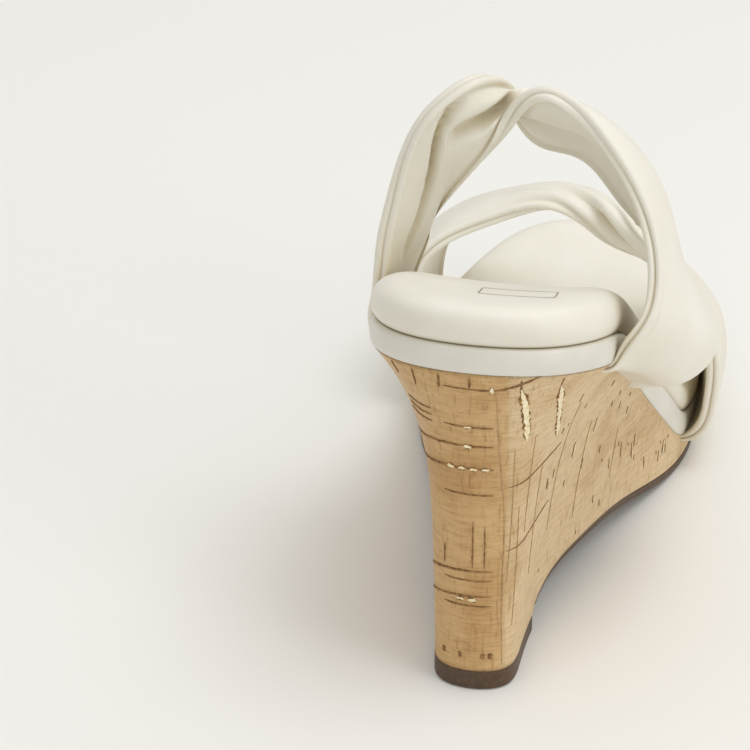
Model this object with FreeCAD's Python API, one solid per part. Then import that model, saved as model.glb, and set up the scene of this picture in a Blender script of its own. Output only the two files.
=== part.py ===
import FreeCAD, Part
import math
import os

V = FreeCAD.Vector

# Wedge sandal for the right foot, in millimetres.
# While drawing: X points to the outer side of the foot, Y to the toe, Z up, the ground is Z = 0.
# At the end everything is moved so that the origin is the bottom centre of its box.

# Footbed, seen from above: the edge of the leather-covered rand, (x, y)
OUTLINE = [(0, 0), (19, 6), (29.3, 20), (32.5, 40), (33.5, 65), (36.5, 90), (42, 114), (46.3, 137),
           (44.5, 162), (36, 187), (22, 208), (3, 217), (-15, 211), (-28, 193), (-36, 170), (-38, 148),
           (-35, 125), (-31, 100), (-29, 75), (-30.3, 50), (-29.3, 22), (-19, 6)]
# Underside of the footbed, seen from the side, (y, z)
BED_LINE = [(-12, 104), (0, 100), (24, 91.8), (45, 80.8), (62, 68.2), (78, 54.3), (98, 35.2), (113, 20.2),
            (124, 11.6), (134, 9.0), (150, 8.4), (170, 8.7), (192, 10.8), (217, 15.2), (230, 18)]
# Underside of the outsole under the arch, (y, z)
ARCH_LINE = [(36, 6.3), (44, 9.4), (58, 11.2), (76, 9.8), (92, 6.6), (108, 2.9), (120, 0.8), (131, 0)]
TREAD_END = 168.0
TOE_LINE = [(TREAD_END, 0), (192, 2.2), (226, 8.2)]

RAND_HEIGHT = 7.4
RAND_SKIN = 1.0
TURN_IN = 11.0
BOARD = 2.0
SHANK_BOARD = 1.5
SHANK_END = 142.0
SOCK_TOP = 17.0
SOCK_SKIN = 1.2
SOCK_ROUND = 3.0

CORK = 1.2
SOLE = 3.0
LIFT = 6.0
LIFT_FRONT = 36.0
# Wedge: pairs of points, where its wall meets the rand and where it meets the sole, (x, y, x, y)
WEDGE_WALL = [(0, 0.6, 0, 6.7), (18.6, 6.5, 9.6, 10.2), (28.7, 20.2, 11.7, 19.4), (31.9, 40, 13.6, 40.6),
              (32.9, 65, 21.6, 65), (35.9, 90, 30.2, 90), (41.4, 114, 40, 114), (45.6, 137, 45.3, 137),
              (43.8, 162, 43.6, 162), (35.5, 186.6, 35.2, 186), (21.7, 207.3, 21.5, 206.6),
              (3, 216.3, 3, 215.4), (-14.8, 210.2, -14.6, 209.4), (-27.4, 192.6, -27.1, 192),
              (-35.3, 170, -35.1, 170), (-37.3, 148, -37, 148), (-34.3, 125, -33.4, 125),
              (-30.3, 100, -25.6, 100), (-28.3, 75, -19, 75), (-29.7, 50, -14.6, 50),
              (-28.7, 22.2, -11.7, 22), (-18.6, 6.5, -9.6, 10.2)]
WEDGE_LEVELS = [-3, 4, 12, 24, 38, 52, 65, 77, 88, 97, 107]

LEATHER = 1.0
LINING = 0.9
TAPE = 0.5
CORD = 1.1
TAB = 1.3


def spline(points, closed=False):
    curve = Part.BSplineCurve()
    curve.interpolate(points, PeriodicFlag=closed)
    return curve


def flat_spline(pairs, plane):
    if plane == "yz":
        return spline([V(0, a, b) for a, b in pairs])
    return spline([V(a, b, 0) for a, b in pairs], True)


def ring(pairs, inset, count=44):
    # closed plan curve moved inwards by inset
    curve = flat_spline(pairs, "xy")
    first, last = curve.FirstParameter, curve.LastParameter
    points = []
    for i in range(count):
        u = first + (last - first) * i / count
        tangent = curve.tangent(u)[0]
        points.append(curve.value(u) + V(-tangent.y, tangent.x, 0) * inset)
    return spline(points, True)


def prism(pairs, inset, low=-20, high=140):
    wire = Part.Wire([ring(pairs, inset).toShape()])
    wire.translate(V(0, 0, low))
    return Part.Face(wire).extrude(V(0, 0, high - low))


bed = flat_spline(BED_LINE, "yz")


def bed_z(y):
    hits = bed.toShape().section(Part.LineSegment(V(0, y, -50), V(0, y, 200)).toShape())
    return hits.Vertexes[0].Z


def bed_edge(lift):
    # underside of the footbed moved square to itself by lift
    first, last = bed.FirstParameter, bed.LastParameter
    points = []
    for i in range(31):
        u = first + (last - first) * i / 30
        tangent = bed.tangent(u)[0]
        points.append(bed.value(u) + V(0, -tangent.z, tangent.y) * lift)
    return spline(points).toShape()


def band(low, high):
    # space between two heights over the underside of the footbed, square to it
    a = bed_edge(low)
    if high > 60:
        p = a.Vertexes[0].Point
        q = a.Vertexes[-1].Point
        corners = [q, V(0, q.y, high), V(0, p.y, high), p]
        lines = [Part.LineSegment(corners[i], corners[i + 1]).toShape() for i in range(3)]
        wire = Part.Wire([a] + lines)
    else:
        b = bed_edge(high)
        end = Part.LineSegment(a.Vertexes[-1].Point, b.Vertexes[-1].Point).toShape()
        start = Part.LineSegment(b.Vertexes[0].Point, a.Vertexes[0].Point).toShape()
        wire = Part.Wire([a, end, b, start])
    face = Part.Face(wire)
    face.translate(V(-80, 0, 0))
    return face.extrude(V(160, 0, 0))


def slab(low, high, inset):
    return band(low, high).common(prism(OUTLINE, inset))


def between(y0, y1):
    return Part.makeBox(200, y1 - y0, 300, V(-100, y0, -60))


def sole_zone(lift):
    # space above the underside of the outsole, raised by lift, open at the top
    last = V(0, ARCH_LINE[-1][0], lift)
    toe_points = [V(0, y, z + lift) for y, z in TOE_LINE]
    toe = Part.BSplineCurve()
    toe.interpolate(toe_points, InitialTangent=V(0, 1, 0), FinalTangent=V(0, 1, 0.2))
    arch = Part.BSplineCurve()
    arch.interpolate([V(0, y, z + lift) for y, z in ARCH_LINE],
                     InitialTangent=V(0, 1, 0.55), FinalTangent=V(0, 1, 0))
    tread = Part.LineSegment(last, toe_points[0]).toShape()
    a = V(0, ARCH_LINE[0][0], ARCH_LINE[0][1] + lift)
    b = toe_points[-1]
    rise = [Part.LineSegment(b, V(0, b.y, 150)).toShape(),
            Part.LineSegment(V(0, b.y, 150), V(0, a.y, 150)).toShape(),
            Part.LineSegment(V(0, a.y, 150), a).toShape()]
    face = Part.Face(Part.Wire([arch.toShape(), tread, toe.toShape()] + rise))
    face.translate(V(-80, 0, 0))
    return face.extrude(V(160, 0, 0))


def wedge_block(inset):
    # wall of the wedge: waisted between the wide footbed and the small heel lift
    upper = [(a, b) for a, b, c, d in WEDGE_WALL]
    lower = [(c, d) for a, b, c, d in WEDGE_WALL]
    rise = [bed_z(b) for a, b in upper]
    wires = []
    for level in WEDGE_LEVELS:
        points = []
        for (a, b), (c, d), top in zip(upper, lower, rise):
            t = min(1.0, max(0.0, level / top))
            g = 0.3 * t + 0.7 * t ** 4
            points.append((c + (a - c) * g, d + (b - d) * g))
        curve = ring(points, inset)
        wire = Part.Wire([curve.toShape()])
        wire.translate(V(0, 0, level))
        wires.append(wire)
    return Part.makeLoft(wires, True, False)


parts = {}

# Fasteners, driven square to the heel seat or up through the lift
seat_tilt = math.degrees(math.atan2(bed_z(24) - bed_z(28), 4))
seat_axis = V(0, math.sin(math.radians(seat_tilt)), math.cos(math.radians(seat_tilt)))


def seat_point(x, y, lift):
    return V(x, y, bed_z(y)) + seat_axis * lift


def seat_pin(x, y, radius, low, high):
    return Part.makeCylinder(radius, high - low, seat_point(x, y, low), seat_axis)


screw = seat_pin(0, 26, 2.4, -32, 5.4).fuse(seat_pin(0, 26, 4.5, 4.5, 6.0))
nails = []
for x, y in [(-10, 18), (10, 18), (-11, 38), (11, 38)]:
    nails.append(seat_pin(x, y, 1.0, -13, 3.4).fuse(seat_pin(x, y, 2.2, 3.0, 3.9)))
pins = []
for y in (15, 29):
    pins.append(Part.makeCylinder(1.6, 17, V(0, y, 2.4)))

# Wedge and its cork sheet
below_bed = Part.makeBox(200, 300, 220, V(-100, -40, -60)).cut(band(0, 220))
wall = wedge_block(0.0).common(below_bed)
inner = wedge_block(CORK).common(below_bed)
over_lift = Part.makeBox(200, LIFT_FRONT + 20, 200, V(-100, -20, LIFT))
over_sole = sole_zone(SOLE)
standing = over_lift.fuse(over_sole)
core = inner.common(standing)
cork = wall.common(standing).cut(inner)

# Sole and heel lift follow the foot of the wedge
lower = [(c, d) for a, b, c, d in WEDGE_WALL]
foot_print = prism(lower, -0.25, -10, 60)
sole = sole_zone(0).cut(sole_zone(SOLE)).common(foot_print)
lift = foot_print.common(Part.makeBox(200, LIFT_FRONT + 20, LIFT, V(-100, -20, 0)))

# Footbed, from the bottom up
skin = slab(0, RAND_HEIGHT, 0)
skin = skin.cut(slab(RAND_SKIN, RAND_HEIGHT - RAND_SKIN, RAND_SKIN))
skin = skin.cut(slab(-0.5, RAND_SKIN + 0.5, TURN_IN))
skin = skin.cut(slab(RAND_HEIGHT - RAND_SKIN - 0.5, RAND_HEIGHT + 0.5, TURN_IN))
filler = slab(0, RAND_SKIN, TURN_IN)
board = slab(RAND_SKIN, RAND_SKIN + BOARD, RAND_SKIN)
shank_low = RAND_SKIN + BOARD
shank_top = shank_low + SHANK_BOARD
shank_board = slab(shank_low, shank_top, RAND_SKIN).common(between(-20, SHANK_END))
shank = slab(shank_low, shank_top, RAND_SKIN).common(Part.makeBox(12, 84, 300, V(-6, 42, -60)))
rivets = []
for y in (50, 118):
    slope = math.atan2(bed_z(y - 1) - bed_z(y + 1), 2)
    axis = V(0, math.sin(slope), math.cos(slope))
    foot = V(0, y, bed_z(y))
    rivets.append(Part.makeCylinder(1.8, 3.6, foot + axis * 1.1, axis))
foam = slab(shank_low, RAND_HEIGHT - RAND_SKIN, RAND_SKIN)
foam = foam.fuse(slab(RAND_HEIGHT - RAND_SKIN, RAND_HEIGHT, TURN_IN)).cut(shank_board).cut(shank)
shank_board = shank_board.cut(shank)


def cushion(low, high, inset, radius):
    body = slab(low, high, inset)
    edges = []
    for face in body.Faces:
        middle = face.CenterOfMass
        if face.Area > 6000 and middle.z > bed_z(middle.y) + high - 2:
            edges = face.OuterWire.Edges
    return body.makeFillet(radius, edges)


sock_all = cushion(RAND_HEIGHT, SOCK_TOP, 0.8, SOCK_ROUND)
sock_pad = cushion(RAND_HEIGHT - 1, SOCK_TOP - SOCK_SKIN, 0.8 + SOCK_SKIN, SOCK_ROUND - SOCK_SKIN)
sock_pad = sock_pad.common(band(RAND_HEIGHT, 220))
sock = sock_all.cut(sock_pad)

# Straps: edge A, the middle and edge B, each from the inner side of the foot over to the outer side.
# Edge A starts nearer the heel and ends nearer the toe, so each strap makes half a turn on its way.
REAR_A = [(-31.8, 46.5, 70), (-32.4, 46.6, 83), (-32, 46.8, 93), (-31, 47.5, 106), (-28.9, 49, 120), (-25, 51, 136),
          (-17.8, 53.5, 146.8), (-8.6, 60, 151.6), (-3.5, 68, 147.5), (1.5, 75, 137), (6.5, 78, 127),
          (13, 79.5, 124), (19.5, 80, 119.5), (27, 82, 108.5), (37, 85.5, 96), (45.5, 88, 80), (47.8, 87.5, 68),
          (42.5, 82, 58.5), (38.2, 77.5, 51), (36.8, 76.5, 42)]
REAR_C = [(-31, 67, 56), (-31.6, 67, 66), (-33.5, 67.5, 79), (-32, 66.5, 93), (-26.8, 65.5, 106.5), (-21, 62, 122),
          (-16.2, 60, 134), (-8.4, 61.5, 139.7), (-3, 64, 142.3), (3, 67, 143.5), (9, 68, 142),
          (18, 64, 140.5), (27, 64, 134.5), (36, 64, 120), (41, 63.5, 104), (46.5, 62.5, 90), (49.5, 60.5, 81),
          (41, 55, 76), (36.4, 52, 70), (35.6, 52, 62)]
REAR_B = [(-33, 89, 34), (-33.4, 89, 48), (-33.6, 88.5, 60), (-31.8, 87, 73), (-27.6, 82.5, 88), (-22.9, 75, 101.7),
          (-15.4, 68, 114.9), (-8, 63, 126), (-2.6, 60.5, 135), (1.5, 59, 144.5), (8.1, 57.5, 149.7),
          (16.5, 55.3, 146.5), (25.5, 51.8, 137.8), (33.9, 46.5, 127.4), (39, 40, 116.5), (39.9, 35, 107.5),
          (38.5, 31.5, 101.5), (34.8, 28.6, 96), (33, 27.2, 90), (32.4, 27, 82)]
FRONT_A = [(-39.6, 143, -2), (-40.4, 143, 8), (-41.8, 143, 26), (-39, 143.5, 47), (-31, 147, 56.5), (-18, 152, 61.5),
           (-5, 155, 65), (6, 157, 62.5), (15, 161, 54.5), (28, 168, 46), (41, 172, 34), (45.4, 171, 20),
           (43.8, 170, 8), (43.4, 170, -2)]
FRONT_C = [(-39, 162.5, -2), (-39.6, 162.5, 8.5), (-42.5, 163.5, 27), (-38.5, 165, 46), (-27, 165.5, 56.5),
           (-12.5, 164, 63), (1.5, 160.5, 67.5), (13.5, 156, 66), (24.5, 153, 60), (37.5, 150, 51.5),
           (48.5, 148.5, 38), (50.5, 147.5, 23), (48.6, 147, 11), (48, 147, -2)]
FRONT_B = [(-35.8, 182, -2), (-36, 182, 9), (-38.5, 184, 26), (-34, 184.5, 41), (-21, 181, 52), (-6, 174.5, 60),
           (9, 165.5, 66.5), (22, 153, 66.5), (34, 141, 61.5), (44, 131, 51), (51, 125, 38), (51.2, 123, 24),
           (47.2, 123, 12), (46.4, 123, 0)]


def guide_curves(guides):
    # the guides share one run of places, so that points with the same number stay abreast
    places = [0.0]
    for i in range(1, len(guides[0])):
        steps = [(V(*line[i]) - V(*line[i - 1])).Length for line in guides]
        places.append(places[-1] + sum(steps) / len(steps))
    curves = []
    for line in guides:
        curve = Part.BSplineCurve()
        curve.interpolate(Points=[V(*p) for p in line], Parameters=places)
        curves.append(curve)
    return curves, places[-1]


def strap_frames(guides):
    (a_curve, c_curve, b_curve), length = guide_curves(guides)
    count = 31
    rows = []
    for i in range(count):
        u = length * i / (count - 1)
        rows.append((a_curve.value(u), c_curve.value(u), b_curve.value(u)))
    done = []
    for i, (a, c, b) in enumerate(rows):
        t = i / (count - 1)
        before = rows[max(0, i - 1)]
        after = rows[min(count - 1, i + 1)]
        along = ((after[0] + after[2]) - (before[0] + before[2])).normalize()
        middle = (a + b) * 0.5
        across = b - a
        width = across.Length
        across.normalize()
        out = along.cross(across).normalize()
        edge = min(1.0, min(t, 1 - t) / 0.16)
        soft = edge * edge * (3 - 2 * edge)
        knot = math.exp(-((t - 0.45) / 0.1) ** 2)
        thick = 2.4 + 4.2 * soft + 1.4 * knot
        done.append((middle, across, out, width, thick, c - middle))
    return done


def arc_points(frame, trim, side, count=9):
    middle, across, out, width, thick, sag = frame
    half = width * 0.5 - trim
    rise = max(0.25, thick * 0.5 - trim)
    points = []
    for i in range(count):
        angle = math.pi * i / (count - 1)
        u = -math.cos(angle)
        v = math.sin(angle) ** 0.7 if 0 < i < count - 1 else 0.0
        points.append(middle + across * (u * half) + out * (side * v * rise) + sag * (1 - u * u))
    return points


def half_skin(frames, side, thickness):
    wires = []
    for frame in frames:
        far = arc_points(frame, 0, side)
        near = arc_points(frame, thickness, side)
        a = spline(far).toShape()
        b = spline(near[::-1]).toShape()
        edges = [a, Part.LineSegment(far[-1], near[-1]).toShape(), b,
                 Part.LineSegment(near[0], far[0]).toShape()]
        wires.append(Part.Wire(edges))
    return Part.makeLoft(wires, True, False)


def strap_fill(frames, trim):
    wires = []
    for frame in frames:
        top = arc_points(frame, trim, 1)
        low = arc_points(frame, trim, -1)
        wires.append(Part.Wire([spline(top).toShape(), spline(low[::-1]).toShape()]))
    return Part.makeLoft(wires, True, False)


def strap_tape(frames):
    wires = []
    for middle, across, out, width, thick, sag in frames:
        half = width * 0.12
        c = middle + sag * 0.99
        corners = [c - across * half - out * TAPE / 2, c + across * half - out * TAPE / 2,
                   c + across * half + out * TAPE / 2, c - across * half + out * TAPE / 2]
        wires.append(Part.makePolygon(corners + [corners[0]]))
    return Part.makeLoft(wires, True, False)


def edge_cord(frames, end):
    # eight-sided bar along one edge, square to its own run at each place
    centres = []
    for middle, across, out, width, thick, sag in frames:
        centres.append(middle + across * end * (width * 0.5 + CORD + 0.03))
    wires = []
    for i, centre in enumerate(centres):
        run = (centres[min(i + 1, len(centres) - 1)] - centres[max(i - 1, 0)]).normalize()
        side = run.cross(frames[i][2]).normalize()
        rise = side.cross(run)
        corners = []
        for k in range(8):
            angle = 2 * math.pi * (k + 0.5) / 8
            corners.append(centre + side * math.cos(angle) * CORD + rise * math.sin(angle) * CORD)
        wires.append(Part.makePolygon(corners + [corners[0]]))
    return Part.makeLoft(wires, True, True)


def make_strap(name, guides, tabs):
    frames = strap_frames(guides)
    over = band(0.15, 220)
    outer = half_skin(frames, 1, LEATHER).common(band(-TAB, 220))
    lining = half_skin(frames, -1, LINING).common(over)
    fill = strap_fill(frames, LEATHER).common(over)
    tape = strap_tape(frames).common(over)
    cords = [edge_cord(frames, -1).common(over), edge_cord(frames, 1).common(over)]
    pocket = band(-TAB, 0).common(prism(OUTLINE, -3.2)).cut(prism(OUTLINE, TURN_IN))
    flaps = []
    for side, y0, y1 in tabs:
        zone = Part.makeBox(100, y1 - y0, 300, V(0 if side > 0 else -100, y0, -60))
        flaps.append(pocket.common(zone))
    return outer, lining, fill.cut(tape), tape, cords, flaps


for name, solid in [("wedge_core", core), ("cork_cover", cork), ("outsole", sole), ("heel_top_lift", lift),
                    ("footbed_wrap", skin), ("bottom_filler", filler), ("insole_board", board),
                    ("shank_board", shank_board), ("steel_shank", shank), ("platform_foam", foam),
                    ("sock_foam", sock_pad), ("sock_lining", sock)]:
    parts[name] = solid
parts["heel_screw"] = screw
parts["heel_nails"] = Part.makeCompound(nails)
parts["top_lift_pins"] = Part.makeCompound(pins)
parts["shank_rivets"] = Part.makeCompound(rivets)

for name, guides, tabs in [
        ("rear_strap", (REAR_A, REAR_C, REAR_B), [(-1, 47.5, 88), (1, 28, 75)]),
        ("front_strap", (FRONT_A, FRONT_C, FRONT_B), [(-1, 144, 181), (1, 124, 169)])]:
    outer, lining, fill, tape, cords, flaps = make_strap(name, guides, tabs)
    for flap in flaps:
        outer = outer.fuse(flap)
        for host in ("wedge_core", "cork_cover"):
            parts[host] = parts[host].cut(flap)
    parts[name + "_outer"] = outer
    parts[name + "_lining"] = lining
    parts[name + "_padding"] = fill
    parts[name + "_tape"] = tape
    parts[name + "_cord_a"] = cords[0]
    parts[name + "_cord_b"] = cords[1]

# Room for every fastener
for fastener in [screw] + nails:
    for host in ("wedge_core", "bottom_filler", "insole_board", "shank_board", "platform_foam"):
        parts[host] = parts[host].cut(fastener)
for fastener in rivets:
    for host in ("insole_board", "steel_shank", "platform_foam"):
        parts[host] = parts[host].cut(fastener)
for fastener in pins:
    for host in ("wedge_core", "heel_top_lift"):
        parts[host] = parts[host].cut(fastener)

whole = Part.makeCompound(list(parts.values())).optimalBoundingBox(False, False)
shift = V(-(whole.XMin + whole.XMax) / 2, -(whole.YMin + whole.YMax) / 2, -whole.ZMin)
print("shift", [round(c, 3) for c in shift])
print("size", round(whole.XLength, 2), round(whole.YLength, 2), round(whole.ZLength, 2))

os.makedirs("parts", exist_ok=True)
for name, solid in parts.items():
    solid.translate(shift)
    solid.exportStep("parts/" + name + ".step")
    print(name, len(solid.Solids), solid.isValid(), round(solid.Volume / 1000, 2), "cm3")
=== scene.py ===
import math
import random
import bpy
import numpy as np
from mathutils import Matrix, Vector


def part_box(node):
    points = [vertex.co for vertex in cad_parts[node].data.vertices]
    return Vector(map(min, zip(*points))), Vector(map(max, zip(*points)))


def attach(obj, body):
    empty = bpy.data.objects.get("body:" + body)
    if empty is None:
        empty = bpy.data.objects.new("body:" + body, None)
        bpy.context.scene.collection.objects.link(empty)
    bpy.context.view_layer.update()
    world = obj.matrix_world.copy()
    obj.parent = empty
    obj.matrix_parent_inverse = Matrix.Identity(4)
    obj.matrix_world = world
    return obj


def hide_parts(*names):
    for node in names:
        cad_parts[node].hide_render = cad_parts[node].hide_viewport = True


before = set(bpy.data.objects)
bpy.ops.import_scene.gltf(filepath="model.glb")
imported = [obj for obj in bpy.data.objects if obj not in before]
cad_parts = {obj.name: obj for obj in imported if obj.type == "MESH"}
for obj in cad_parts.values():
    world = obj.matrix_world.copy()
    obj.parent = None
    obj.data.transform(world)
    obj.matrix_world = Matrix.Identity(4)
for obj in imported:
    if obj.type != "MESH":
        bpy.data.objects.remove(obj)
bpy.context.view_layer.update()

# Wedge: one hard block, waisted like an hourglass from the wide footbed down to a small heel,
# covered all over with thin natural cork sheet that is cut in rectangles and glued on edge to edge.
# All shapes are drawn in millimetres from the back of the heel seat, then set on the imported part.
lift_low, lift_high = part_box("heel_top_lift")
HEEL_BACK = np.array([(lift_low.x + lift_high.x) * 500, lift_high.y * 1000 - 36.0, 0.0])

RAND_OUTLINE = [(0, 0), (19, 6), (29.3, 20), (32.5, 40), (33.5, 65), (36.5, 90), (42, 114), (46.3, 137),
                (44.5, 162), (36, 187), (22, 208), (3, 217), (-15, 211), (-28, 193), (-36, 170),
                (-38, 148), (-35, 125), (-31, 100), (-29, 75), (-30.3, 50), (-29.3, 22), (-19, 6)]
SEAT_LINE = [(-12, 104), (0, 100), (24, 91.8), (45, 80.8), (62, 68.2), (78, 54.3), (98, 35.2), (113, 20.2),
             (124, 11.6), (134, 9.0), (150, 8.4), (170, 8.7), (192, 10.8), (217, 15.2), (230, 18)]
ARCH_LINE = [(36, 6.3), (44, 9.4), (58, 11.2), (76, 9.8), (92, 6.6), (108, 2.9), (120, 0.8), (131, 0),
             (150, 0), (168, 0), (192, 2.2), (226, 8.2)]
WEDGE_TOP = [(0, 0.6), (18.6, 6.5), (28.7, 20.2), (31.9, 40), (32.9, 65), (35.9, 90), (41.4, 114),
             (45.6, 137), (43.8, 162), (35.5, 186.6), (21.7, 207.3), (3, 216.3), (-14.8, 210.2),
             (-27.4, 192.6), (-35.3, 170), (-37.3, 148), (-34.3, 125), (-30.3, 100), (-28.3, 75),
             (-29.7, 50), (-28.7, 22.2), (-18.6, 6.5)]
WEDGE_FOOT = [(0, 6.9), (9.2, 10.4), (11.1, 19.4), (13.1, 40.6), (21.6, 65), (30.2, 90), (40, 114),
              (45.3, 137), (43.6, 162), (35.2, 186), (21.5, 206.6), (3, 215.4), (-14.6, 209.4),
              (-27.1, 192), (-35.1, 170), (-37, 148), (-33.4, 125), (-25.6, 100), (-19, 75),
              (-14.2, 50), (-10.9, 22), (-9.0, 10.4)]
SOLE_THICK = 3.0
LIFT_THICK = 6.0
LIFT_FRONT = 36.0


def spline_second(points, gaps, closed):
    n = len(points)
    grid = np.zeros((n, n))
    right = np.zeros((n, points.shape[1]))
    slopes = np.diff(points, axis=0) / gaps[:, None]
    for i in range(1, n - 1):
        grid[i, i - 1:i + 2] = gaps[i - 1], 2 * (gaps[i - 1] + gaps[i]), gaps[i]
        right[i] = 6 * (slopes[i] - slopes[i - 1])
    if closed:
        grid[0, 0], grid[0, n - 1] = 1, -1
        grid[n - 1, 0], grid[n - 1, 1] = 2 * gaps[0], gaps[0]
        grid[n - 1, n - 2] += gaps[-1]
        grid[n - 1, n - 1] += 2 * gaps[-1]
        right[n - 1] = 6 * (slopes[0] - slopes[-1])
    else:
        grid[0, 0] = grid[n - 1, n - 1] = 1
    return np.linalg.solve(grid, right)


def smooth_through(points, places, closed=False, gaps=None):
    # cubic curve through the points, read at places from 0 to 1 along it
    points = np.array(points, float)
    if closed:
        points = np.vstack([points, points[:1]])
    if gaps is None:
        gaps = np.linalg.norm(np.diff(points, axis=0), axis=1)
    knots = np.concatenate([[0], np.cumsum(gaps)])
    second = spline_second(points, gaps, closed)
    where = np.clip(np.asarray(places, float), 0, 1) * knots[-1]
    i = np.clip(np.searchsorted(knots, where, side="right") - 1, 0, len(gaps) - 1)
    a = ((knots[i + 1] - where) / gaps[i])[:, None]
    b = 1 - a
    bend = (a ** 3 - a) * second[i] + (b ** 3 - b) * second[i + 1]
    return a * points[i] + b * points[i + 1] + bend * (gaps[i] ** 2 / 6)[:, None]


def height_along(line, y):
    # height of a side-view line at each y
    fine = smooth_through(line, np.linspace(0, 1, 1200))
    return np.interp(y, fine[:, 0], fine[:, 1])


def seat_height(y):
    return height_along(SEAT_LINE, y)


def seat_slope(y):
    return (seat_height(y + 0.5) - seat_height(y - 0.5)) / 1.0


def sole_height(y):
    return height_along(ARCH_LINE, y)


def lay_sheet(name, across, along, place):
    # a flat gridded sheet is laid round the piece: each of its points goes to place(u, v), in mm
    bpy.ops.object.select_all(action="DESELECT")
    bpy.ops.mesh.primitive_grid_add(x_subdivisions=across, y_subdivisions=along, size=1.0, calc_uvs=True)
    sheet = bpy.context.object
    sheet.name = name
    sheet.data.name = name
    flat = np.zeros(len(sheet.data.vertices) * 3)
    sheet.data.vertices.foreach_get("co", flat)
    flat = flat.reshape(-1, 3) + 0.5
    spots = (place(flat[:, 0], flat[:, 1]) + HEEL_BACK) * 0.001
    sheet.data.vertices.foreach_set("co", spots.ravel())
    sheet.data.update()
    return sheet


def sew(piece):
    # edges that meet are joined, and all faces are turned outwards
    bpy.ops.object.select_all(action="DESELECT")
    piece.select_set(True)
    bpy.context.view_layer.objects.active = piece
    bpy.ops.object.mode_set(mode="EDIT")
    bpy.ops.mesh.select_all(action="SELECT")
    bpy.ops.mesh.remove_doubles(threshold=0.00001)
    bpy.ops.mesh.normals_make_consistent(inside=False)
    bpy.ops.object.mode_set(mode="OBJECT")
    bpy.ops.object.shade_smooth()
    return piece


def scale_uv(piece, wide, high):
    # the sheet's own map in millimetres
    layer = piece.data.uv_layers[0].data
    flat = np.zeros(len(layer) * 2)
    layer.foreach_get("uv", flat)
    layer.foreach_set("uv", (flat.reshape(-1, 2) * (wide, high)).ravel())


def srgb(code, alpha=1.0):
    parts = [int(code[i:i + 2], 16) / 255 for i in (1, 3, 5)]
    linear = [c / 12.92 if c <= 0.04045 else ((c + 0.055) / 1.055) ** 2.4 for c in parts]
    return (*linear, alpha)


def new_material(name):
    material = bpy.data.materials.new(name)
    material.use_nodes = True
    return material, material.node_tree, material.node_tree.nodes["Principled BSDF"]


def node(tree, kind, settings=None, links=None, stops=None):
    # one node: plain settings, then socket values or the outputs that feed them, then any colour stops
    made = tree.nodes.new(kind)
    for key, value in (settings or {}).items():
        setattr(made, key, value)
    for key, value in (links or {}).items():
        if isinstance(value, bpy.types.NodeSocket):
            tree.links.new(value, made.inputs[key])
        else:
            made.inputs[key].default_value = value
    if stops:
        marks = made.color_ramp.elements
        for place, _ in stops[1:-1]:
            marks.new(place)
        for mark, (place, code) in zip(marks, stops):
            mark.position, mark.color = place, srgb(code)
    return made


def dress(piece, material, *nodes, slot=None):
    piece.data.materials.clear()
    piece.data.materials.append(material)
    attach(piece, "root")
    if nodes:
        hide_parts(*nodes)
    return piece


around = np.linspace(0, 1, 721)
top_ring = smooth_through(WEDGE_TOP, around, True)
foot_ring = smooth_through(WEDGE_FOOT, around, True)
top_run = np.concatenate([[0], np.cumsum(np.linalg.norm(np.diff(top_ring, axis=0), axis=1))])
TOP_GIRTH = top_run[-1]


def ring_at(ring, run):
    run = np.mod(run, TOP_GIRTH)
    return np.column_stack([np.interp(run, top_run, ring[:, 0]), np.interp(run, top_run, ring[:, 1])])


def wedge_floor(y):
    return np.where(y < LIFT_FRONT, LIFT_THICK, sole_height(np.maximum(y, LIFT_FRONT)) + SOLE_THICK)


def wedge_wall(run, share):
    # run: millimetres along the top edge from the back of the heel, share: 0 at the foot, 1 at the top
    up = ring_at(top_ring, run)
    down = ring_at(foot_ring, run)
    high = seat_height(up[:, 1])
    low = wedge_floor(down[:, 1])
    z = low + (high - low) * share
    t = z / high
    flare = 0.3 * t + 0.7 * t ** 4
    return np.column_stack([down + (up - down) * flare[:, None], z])


def wedge_skin(run, z, proud):
    # point on the cork at a height over the ground, lifted off it by proud
    up = ring_at(top_ring, run)
    down = ring_at(foot_ring, run)
    high = seat_height(up[:, 1])
    low = wedge_floor(down[:, 1])
    share = np.clip((z - low) / (high - low), 0, 1)
    here = wedge_wall(run, share)
    du = wedge_wall(run + 0.5, share) - wedge_wall(run - 0.5, share)
    dv = wedge_wall(run, np.minimum(share + 0.01, 1)) - wedge_wall(run, np.maximum(share - 0.01, 0))
    out = np.cross(du, dv)
    out /= np.linalg.norm(out, axis=1)[:, None]
    return here + out * proud


def towards_spine(edge, share):
    # point on the way from an edge point to the middle line of the sandal
    y = np.clip(edge[:, 1], 28, 190)
    middle = np.interp(y, [0, 60, 120, 160, 217], [0, 1.5, 4, 4, 3])
    spot = edge[:, :2].copy()
    spot[:, 0] += (middle - edge[:, 0]) * share
    spot[:, 1] += (y - edge[:, 1]) * share
    return spot


def wedge_place(u, v):
    run = u * TOP_GIRTH
    wall = wedge_wall(run, np.clip((v - 0.1) / 0.8, 0, 1))
    under = np.clip((0.1 - v) / 0.1, 0, 1)
    over = np.clip((v - 0.9) / 0.1, 0, 1)
    spot = towards_spine(wall, under + over)
    z = np.where(under > 0, wedge_floor(spot[:, 1]), wall[:, 2])
    z = np.where(over > 0, seat_height(spot[:, 1]), z)
    return np.column_stack([spot, z])


wedge = sew(lay_sheet("cork_wedge", 300, 80, wedge_place))
scale_uv(wedge, TOP_GIRTH, 100)

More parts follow.
